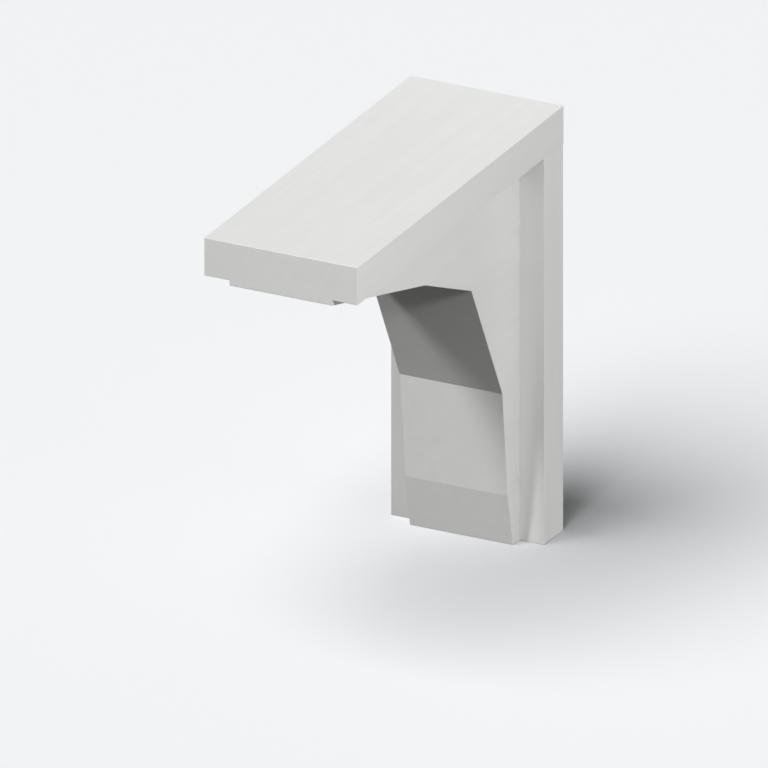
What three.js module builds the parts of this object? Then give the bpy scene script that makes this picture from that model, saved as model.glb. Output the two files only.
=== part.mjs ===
// A countertop bracket of three painted boards: a top plate, a back plate and a thick shaped brace.
// The back stands against a wall, and the top plate carries a worktop that overhangs it.
// Millimetres, +Z up. The origin is the middle of the back, in the plane of the wall.
// The arm reaches out along -Y, and X runs across the bracket.
import * as THREE from 'three';

// The whole bracket
const depth = 304.8; // wall to the front end of the arm
const height = 304.8; // foot to the top face
const glueLine = 0.2; // left between two boards where they meet

// The two plates, sawn to one width
const plateWidth = 113.2;
const topThickness = 27.1;
const backThickness = 28.8;
const rearEasing = 1.2; // radius on the back plate's two upright arrises at the wall

// The brace, whose front end is flush with the top plate's and whose foot is flush with the back plate's
const braceWidth = 76.2;
const noseDepth = 3.7; // front end of the brace, below the top plate
const throatOut = 70.26; // inner corner of the brace, in front of the back plate
const throatDrop = 71.96; // inner corner of the brace, below the top plate
const toeOut = 9.3; // foot of the brace, in front of the back plate

// The brace's edge is planed in flats. Each break between two flats is given by how far it has come
// from the throat, as shares of the way out or in, and of the way up or down.
const armBreaks = [{ along: 1 / 3, upright: 4 / 9 }];
const legBreaks = [
  { along: 3 / 4, upright: 4 / 9 },
  { along: 7 / 8, upright: 22 / 27 },
];

const across = new THREE.Vector3(1, 0, 0);
const outwards = new THREE.Vector3(0, -1, 0);
const downwards = new THREE.Vector3(0, 0, -1);

// Paint on a board
function paint() {
  return new THREE.MeshStandardMaterial({ color: 0xe8e8e6, roughness: 0.5, metalness: 0 });
}

// Board sawn to a side outline, whose points are reach from the wall and drop from the top face
function boardFromSide(name, outline, width) {
  const geometry = new THREE.ExtrudeGeometry(new THREE.Shape(outline), {
    depth: width,
    bevelEnabled: false,
  });
  geometry.translate(0, 0, -width / 2);
  const placing = new THREE.Matrix4().makeBasis(outwards, downwards, across);
  placing.setPosition(0, 0, height / 2);
  geometry.applyMatrix4(placing);
  const mesh = new THREE.Mesh(geometry, paint());
  mesh.name = name;
  return mesh;
}

// Top plate: a plain board, square on every edge
function makeTopPlate() {
  const outline = [
    new THREE.Vector2(0, 0),
    new THREE.Vector2(depth, 0),
    new THREE.Vector2(depth, topThickness),
    new THREE.Vector2(0, topThickness),
  ];
  return boardFromSide('top_plate', outline, plateWidth);
}

// Back plate: an upright board butted up under the top plate, drawn in plan and run down to the foot
function makeBackPlate() {
  const side = plateWidth / 2;
  const plan = new THREE.Shape();
  plan.moveTo(-side, backThickness);
  plan.lineTo(-side, rearEasing);
  plan.absarc(-side + rearEasing, rearEasing, rearEasing, Math.PI, 1.5 * Math.PI, false);
  plan.lineTo(side - rearEasing, 0);
  plan.absarc(side - rearEasing, rearEasing, rearEasing, -0.5 * Math.PI, 0, false);
  plan.lineTo(side, backThickness);
  plan.closePath();

  const underTop = topThickness + glueLine;
  const geometry = new THREE.ExtrudeGeometry(plan, {
    depth: height - underTop,
    bevelEnabled: false,
    curveSegments: 6,
  });
  const placing = new THREE.Matrix4().makeBasis(across, outwards, downwards);
  placing.setPosition(0, 0, height / 2 - underTop);
  geometry.applyMatrix4(placing);
  const mesh = new THREE.Mesh(geometry, paint());
  mesh.name = 'back_plate';
  return mesh;
}

// Breaks between the flats that run from the throat to one end of the brace
function flats(throat, end, breaks) {
  return breaks.map(({ along, upright }) => new THREE.Vector2(
    THREE.MathUtils.lerp(throat.x, end.x, along),
    THREE.MathUtils.lerp(throat.y, end.y, upright),
  ));
}

// Brace: a thick block in the corner of the two plates, its edge planed in flats from nose to toe
function makeBrace() {
  const back = backThickness + glueLine;
  const top = topThickness + glueLine;
  const nose = new THREE.Vector2(depth, topThickness + noseDepth);
  const throat = new THREE.Vector2(backThickness + throatOut, topThickness + throatDrop);
  const toe = new THREE.Vector2(backThickness + toeOut, height);
  const outline = [
    new THREE.Vector2(back, top),
    new THREE.Vector2(depth, top),
    nose,
    ...flats(throat, nose, armBreaks).reverse(),
    throat,
    ...flats(throat, toe, legBreaks),
    toe,
    new THREE.Vector2(back, height),
  ];
  return boardFromSide('brace', outline, braceWidth);
}

const bracket = new THREE.Group();
bracket.add(makeTopPlate(), makeBackPlate(), makeBrace());

export default bracket;
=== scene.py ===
# A countertop bracket in white painted wood: a back plate, a top plate and a brace in their corner.
# Metres, +Z up. The origin is the middle of the back, the arm reaches out along -Y, and X is across.
import math

import bmesh
import bpy
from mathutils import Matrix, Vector


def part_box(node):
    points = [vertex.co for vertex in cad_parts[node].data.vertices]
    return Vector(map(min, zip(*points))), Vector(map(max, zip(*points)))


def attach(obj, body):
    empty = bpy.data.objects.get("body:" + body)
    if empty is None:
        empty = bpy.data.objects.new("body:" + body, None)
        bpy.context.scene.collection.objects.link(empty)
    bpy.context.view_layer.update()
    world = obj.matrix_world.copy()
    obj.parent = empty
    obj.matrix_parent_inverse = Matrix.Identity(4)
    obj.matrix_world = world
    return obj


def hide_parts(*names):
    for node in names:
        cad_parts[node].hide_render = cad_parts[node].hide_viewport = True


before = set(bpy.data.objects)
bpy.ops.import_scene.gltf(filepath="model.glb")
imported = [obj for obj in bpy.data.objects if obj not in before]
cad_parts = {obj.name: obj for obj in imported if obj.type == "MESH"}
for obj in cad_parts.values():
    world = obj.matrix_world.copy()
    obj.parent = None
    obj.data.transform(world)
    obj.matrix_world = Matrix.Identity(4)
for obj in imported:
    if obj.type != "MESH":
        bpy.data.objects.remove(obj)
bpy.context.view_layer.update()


# Back plate
# A planed softwood board that stands against the wall, butted up under the top plate and glued.
# It was sanded and sprayed white once the bracket was together: its free arrises are eased, and
# the edges in a joint stay square to a hair, so that the paint fills the joint flush.
mm = 0.001
sanded_radius = 0.35 * mm
crisp_radius = 0.1 * mm
joint_radius = 0.02 * mm  # a hairline, too fine to be seen in the picture
arris_facets = 3
fade = 1 * mm  # the easing of an arris runs out over this length where it meets a joint
least_arris = math.radians(30)  # a shallower edge is a break between two flats, and stays crisp
narrow_strip = 1 * mm  # the solid's own facets of a rounded arris are narrower than this
same_place = 0.01 * mm
same_flat = math.radians(1)
at_end = 0.001  # as near an edge's end, as a share of its length, counts as at the end
satin_white = "#E9E9E7"
film_shade = "#E5E5E3"  # where the film is thin and the primer shows through it


def closed_box(node):
    """The node's box as two corners, with the glue lines above and behind it closed."""
    low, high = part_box(node)
    if node != "top_plate":
        high.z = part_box("top_plate")[0].z
    if node == "brace":
        high.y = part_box("back_plate")[0].y
    return low, high


def joint_between(node, neighbour):
    """The flat rectangle in which two boards meet, as two corners."""
    low_here, high_here = closed_box(node)
    low_there, high_there = closed_box(neighbour)
    return Vector(map(max, low_here, low_there)), Vector(map(min, high_here, high_there))


def inside(point, rectangle):
    """Whether a point lies in a joint."""
    low, high = rectangle
    return all(low[i] - same_place < point[i] < high[i] + same_place for i in range(3))


def close_glue_lines(bm, node):
    """Moves the board's rear and upper faces out to the boards that they are glued to."""
    solid_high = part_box(node)[1]
    closed_high = closed_box(node)[1]
    for vertex in bm.verts:
        for axis in (1, 2):  # to the rear, and up
            if abs(vertex.co[axis] - solid_high[axis]) < same_place:
                vertex.co[axis] = closed_high[axis]


def part_edges_at(bm, rectangle):
    """Parts each edge that runs on beyond a joint, at the joint's end and where its easing fades out."""
    low, high = rectangle
    for edge in list(bm.edges):
        start, end = edge.verts
        run = end.co - start.co
        axis = max(range(3), key=lambda i: abs(run[i]))
        shares = []
        for place, inward in ((low[axis], fade), (high[axis], -fade)):
            share = (place - start.co[axis]) / run[axis]
            if at_end < share < 1 - at_end and inside(start.co + run * share, rectangle):
                shares += [share, share + inward / run[axis]]
        near_part = edge
        reach = 1
        for share in sorted(shares, reverse=True):
            near_part, _ = bmesh.utils.edge_split(near_part, start, share / reach)
            reach = share


def arris_radius(edge, joints):
    """How far an edge is rounded."""
    widths = [face.calc_area() / edge.calc_length() for face in edge.link_faces]
    if min(widths) < narrow_strip:
        return 0
    if any(all(inside(vertex.co, rectangle) for vertex in edge.verts) for rectangle in joints):
        return joint_radius
    if edge.calc_face_angle_signed() < least_arris:
        return crisp_radius
    return sanded_radius


def sawn_board(name, node, neighbours):
    """A board from its solid: flat faces whole, glue lines closed, arrises eased."""
    bm = bmesh.new()
    bm.from_mesh(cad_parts[node].data)
    bmesh.ops.remove_doubles(bm, verts=bm.verts, dist=same_place)
    bmesh.ops.dissolve_limit(bm, angle_limit=same_flat, verts=bm.verts, edges=bm.edges)
    close_glue_lines(bm, node)
    joints = [joint_between(node, neighbour) for neighbour in neighbours]
    for rectangle in joints:
        part_edges_at(bm, rectangle)
    weights = bm.edges.layers.float.new("bevel_weight_edge")
    for edge in bm.edges:
        edge[weights] = arris_radius(edge, joints) / sanded_radius
    for face in bm.faces:
        face.smooth = True
    mesh = bpy.data.meshes.new(name)
    bm.to_mesh(mesh)
    bm.free()

    board = bpy.data.objects.new(name, mesh)
    bpy.context.scene.collection.objects.link(board)
    easing = board.modifiers.new("sanded arrises", "BEVEL")
    easing.limit_method = "WEIGHT"
    easing.width = sanded_radius
    easing.segments = arris_facets
    flats = board.modifiers.new("flat faces", "WEIGHTED_NORMAL")
    flats.weight = 100  # the most, so that a flat is shaded as flat up to its arrises
    return board


def linear(hex_colour):
    """An sRGB hex colour as linear red, green, blue and alpha."""
    channels = [int(hex_colour[i:i + 2], 16) / 255 for i in (1, 3, 5)]
    return [c / 12.92 if c <= 0.04045 else ((c + 0.055) / 1.055) ** 2.4 for c in channels] + [1]


def add_node(tree, kind, inputs, **settings):
    """Adds a shader node, with its settings, and with its inputs set or linked."""
    added = tree.nodes.new(kind)
    for name, value in settings.items():
        setattr(added, name, value)
    for name, value in inputs.items():
        if isinstance(value, bpy.types.NodeSocket):
            tree.links.new(value, added.inputs[name])
        else:
            added.inputs[name].default_value = value
    return added


def sprayed_satin_enamel(name, grain, seed):
    """Satin enamel sprayed on sanded softwood, smooth and nearly white. The film is thinner over raised
    fibres, so the grain tells in its tone, here a touch more than in the real one, so that it shows.
    A low light also finds the risen grain and the spray's orange peel. The grain runs along one axis,
    and the seed moves the pattern, so that no two boards share one."""
    fibre_width = 2.2 * mm  # really under 1 mm, and coarser here so that it shows
    fibre_length = 140 * mm
    fibre_height = 0.03 * mm
    ring_width = 9 * mm  # growth rings, cut along the board
    ring_length = 108 * mm
    ring_height = 0.06 * mm
    peel_width = 2.5 * mm  # really about 1 mm, and coarser here so that it shows
    peel_height = 0.015 * mm
    cloud_width = 45 * mm  # patches where the film is thicker or thinner
    pattern_mean = 0.5
    cloud_spread = 0.2  # how far the patches stray from the mean
    film_mean = 3 * pattern_mean  # fibres, rings and patches together
    film_spread = 0.4
    full_gloss_roughness = 0.46
    dull_roughness = 0.56
    enamel_ior = 1.5

    material = bpy.data.materials.new(name)
    material.use_nodes = True
    tree = material.node_tree
    shader = tree.nodes["Principled BSDF"]
    grain_axis = "XYZ".index(grain)
    fibre_scale = [1 / fibre_width] * 3
    fibre_scale[grain_axis] = 1 / fibre_length
    ring_scale = [1 / ring_width] * 3
    ring_scale[grain_axis] = 1 / ring_length

    place = add_node(tree, "ShaderNodeTexCoord", {}).outputs["Object"]
    fibre_place = add_node(tree, "ShaderNodeMapping", {
        "Vector": place, "Location": (seed, seed, seed), "Scale": fibre_scale})
    fibres = add_node(tree, "ShaderNodeTexNoise", {
        "Vector": fibre_place.outputs["Vector"], "Scale": 1, "Detail": 2, "Roughness": 0.5})
    ring_place = add_node(tree, "ShaderNodeMapping", {
        "Vector": place, "Location": (seed, 2 * seed, seed), "Scale": ring_scale})
    rings = add_node(tree, "ShaderNodeTexNoise", {
        "Vector": ring_place.outputs["Vector"], "Scale": 1, "Detail": 1, "Roughness": 0.4,
        "Distortion": 0.6})
    peel = add_node(tree, "ShaderNodeTexNoise", {
        "Vector": place, "Scale": 1 / peel_width, "Detail": 2, "Roughness": 0.45})
    clouds = add_node(tree, "ShaderNodeTexNoise", {
        "Vector": place, "Scale": 1 / cloud_width, "Detail": 3, "Roughness": 0.5})

    ring_relief = add_node(tree, "ShaderNodeBump", {
        "Height": rings.outputs["Fac"], "Strength": 1, "Distance": ring_height})
    grain_relief = add_node(tree, "ShaderNodeBump", {
        "Height": fibres.outputs["Fac"], "Strength": 1, "Distance": fibre_height,
        "Normal": ring_relief.outputs["Normal"]})
    relief = add_node(tree, "ShaderNodeBump", {
        "Height": peel.outputs["Fac"], "Strength": 1, "Distance": peel_height,
        "Normal": grain_relief.outputs["Normal"]})
    figure = add_node(tree, "ShaderNodeMath", {
        0: fibres.outputs["Fac"], 1: rings.outputs["Fac"]}, operation="ADD")
    film = add_node(tree, "ShaderNodeMath", {
        0: figure.outputs["Value"], 1: clouds.outputs["Fac"]}, operation="ADD")
    thin = add_node(tree, "ShaderNodeMapRange", {
        "Value": film.outputs["Value"],
        "From Min": film_mean - film_spread, "From Max": film_mean + film_spread})
    colour = add_node(tree, "ShaderNodeMix", {
        "Factor": thin.outputs["Result"], "A": linear(satin_white), "B": linear(film_shade)},
        data_type="RGBA")
    gloss = add_node(tree, "ShaderNodeMapRange", {
        "Value": clouds.outputs["Fac"],
        "From Min": pattern_mean - cloud_spread, "From Max": pattern_mean + cloud_spread,
        "To Min": full_gloss_roughness, "To Max": dull_roughness})
    tree.links.new(colour.outputs["Result"], shader.inputs["Base Color"])
    tree.links.new(gloss.outputs["Result"], shader.inputs["Roughness"])
    tree.links.new(relief.outputs["Normal"], shader.inputs["Normal"])
    shader.inputs["IOR"].default_value = enamel_ior
    return material


back_plate = sawn_board("painted_back_plate", "back_plate", ["top_plate", "brace"])
back_plate.data.materials.append(
    sprayed_satin_enamel("sprayed_satin_enamel_back_plate", grain="Z", seed=3))
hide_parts("back_plate")
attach(back_plate, "root")


# Brace
# A thick block glued in the corner of the two plates, sawn to shape and its edge planed in flats.
# The flats meet in crisp lines, and only the outer arrises are eased. Sprayed with the plates.
brace = sawn_board("painted_brace", "brace", ["top_plate", "back_plate"])
brace.data.materials.append(sprayed_satin_enamel("sprayed_satin_enamel_brace", grain="Y", seed=11))
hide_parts("brace")
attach(brace, "root")


# Top plate
# A plain planed board, glued down on the ends of the back plate and the brace. It is flush with the
# back plate behind and with the brace in front, and the worktop rests on it. Sprayed with the rest.
top_plate = sawn_board("painted_top_plate", "top_plate", ["back_plate", "brace"])
top_plate.data.materials.append(
    sprayed_satin_enamel("sprayed_satin_enamel_top_plate", grain="Y", seed=7))
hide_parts("top_plate")
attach(top_plate, "root")


# Studio floor
# A pale sheet of matt board that the bracket stands on, wide enough to fill a low view. It takes
# light and shadow and gives no light back, so the undersides stay as dark as they are.
floor_half = 30  # metres
floor_colour = "#F1F3F5"
floor_roughness = 0.9
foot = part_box("back_plate")[0].z
bm = bmesh.new()
bmesh.ops.create_grid(bm, x_segments=1, y_segments=1, size=floor_half)
bmesh.ops.translate(bm, vec=(0, 0, foot), verts=bm.verts)
floor_mesh = bpy.data.meshes.new("studio_floor")
bm.to_mesh(floor_mesh)
bm.free()
floor = bpy.data.objects.new("studio_floor", floor_mesh)
bpy.context.scene.collection.objects.link(floor)
matt_board = bpy.data.materials.new("matt_board")
matt_board.use_nodes = True
board_shader = matt_board.node_tree.nodes["Principled BSDF"]
board_shader.inputs["Base Color"].default_value = linear(floor_colour)
board_shader.inputs["Roughness"].default_value = floor_roughness
board_shader.inputs["Specular IOR Level"].default_value = 0  # no sheen at all
floor.data.materials.append(matt_board)
floor.visible_diffuse = False
floor.visible_glossy = False
floor.visible_shadow = False  # the low lights pass through it


# Studio lights
# A soft key from the left of the front and a near lamp from the right shape the bracket. Broader
# lights from the front, the left, the back and low on the right keep its other faces readable. The
# floor has one broad light of its own, so that a single soft shadow lies round the foot.
bracket = bpy.data.collections.new("bracket")
for board in (back_plate, brace, top_plate):
    bracket.objects.link(board)
ground = bpy.data.collections.new("ground")
ground.objects.link(floor)


def direction(azimuth, elevation):
    """The way from the part's origin to a lamp or the camera. Azimuth is from the front round to the
    right, and both are in degrees."""
    turn = math.radians(azimuth)
    rise = math.radians(elevation)
    return Vector((
        math.sin(turn) * math.cos(rise),
        -math.cos(turn) * math.cos(rise),
        math.sin(rise),
    ))


def lamp(name, lit, azimuth, elevation, softness, strength, distance=None, shines=False):
    """A soft lamp that lights one collection, far off or at a distance. Strength is how much light
    reaches the part's origin. Only a lamp that shines is seen as a sheen on the paint, so the broad
    ones don't glare along a face."""
    towards = direction(azimuth, elevation)
    if distance is None:
        data = bpy.data.lights.new(name, "SUN")
        data.angle = math.radians(softness)
        data.energy = strength * math.pi
    else:
        data = bpy.data.lights.new(name, "POINT")
        data.shadow_soft_size = distance * math.tan(math.radians(softness / 2))
        data.energy = strength * math.pi * 4 * math.pi * distance ** 2
    made = bpy.data.objects.new(name, data)
    made.location = towards * (distance or 1)
    made.rotation_mode = "QUATERNION"
    made.rotation_quaternion = towards.to_track_quat("Z", "Y")
    made.light_linking.receiver_collection = lit
    made.visible_glossy = shines
    bpy.context.scene.collection.objects.link(made)


lamp("key", bracket, azimuth=-29, elevation=46, softness=10, strength=0.59, shines=True)
lamp("right", bracket, azimuth=61, elevation=31, softness=8, strength=0.534, distance=2,
     shines=True)
lamp("left", bracket, azimuth=-100, elevation=55, softness=40, strength=0.256, distance=1.2)
lamp("front", bracket, azimuth=15, elevation=20, softness=60, strength=0.202)
lamp("back", bracket, azimuth=190, elevation=16, softness=30, strength=0.65, distance=0.9)
lamp("low_right", bracket, azimuth=120, elevation=-15, softness=60, strength=0.28)
lamp("floor", ground, azimuth=-22, elevation=56, softness=48, strength=1.2)

# The studio's walls give no light, and are seen in the floor's colour.
world = bpy.data.worlds.new("studio")
bpy.context.scene.world = world
world.use_nodes = True
seen = add_node(world.node_tree, "ShaderNodeLightPath", {}).outputs["Is Camera Ray"]
backdrop = add_node(world.node_tree, "ShaderNodeMix", {
    "Factor": seen, "A": linear("#000000"), "B": linear(floor_colour)}, data_type="RGBA")
world.node_tree.links.new(
    backdrop.outputs["Result"], world.node_tree.nodes["Background"].inputs["Color"])


# Camera
# It looks from the right of the front and a little above, without perspective, as in the photograph.
# Its frame is set in the photograph's pixels, by where the part's origin falls in it.
picture_width = 768  # pixels
pixels_per_metre = 1512.9
origin_right = 103.1  # pixels from the picture's middle to the part's origin
origin_up = 81.4
camera_azimuth = math.degrees(math.atan(1 / 2))
camera_elevation = 23.16
camera_distance = 2

back = direction(camera_azimuth, camera_elevation)
right = Vector((0, 0, 1)).cross(back).normalized()
up = back.cross(right)
camera_data = bpy.data.cameras.new("camera")
camera_data.type = "ORTHO"
camera_data.ortho_scale = picture_width / pixels_per_metre
camera = bpy.data.objects.new("camera", camera_data)
middle = -(right * origin_right + up * origin_up) / pixels_per_metre
camera.location = middle + back * camera_distance
camera.rotation_mode = "QUATERNION"
camera.rotation_quaternion = back.to_track_quat("Z", "Y")
bpy.context.scene.collection.objects.link(camera)
bpy.context.scene.camera = camera
bpy.context.scene.view_settings.view_transform = "Standard"
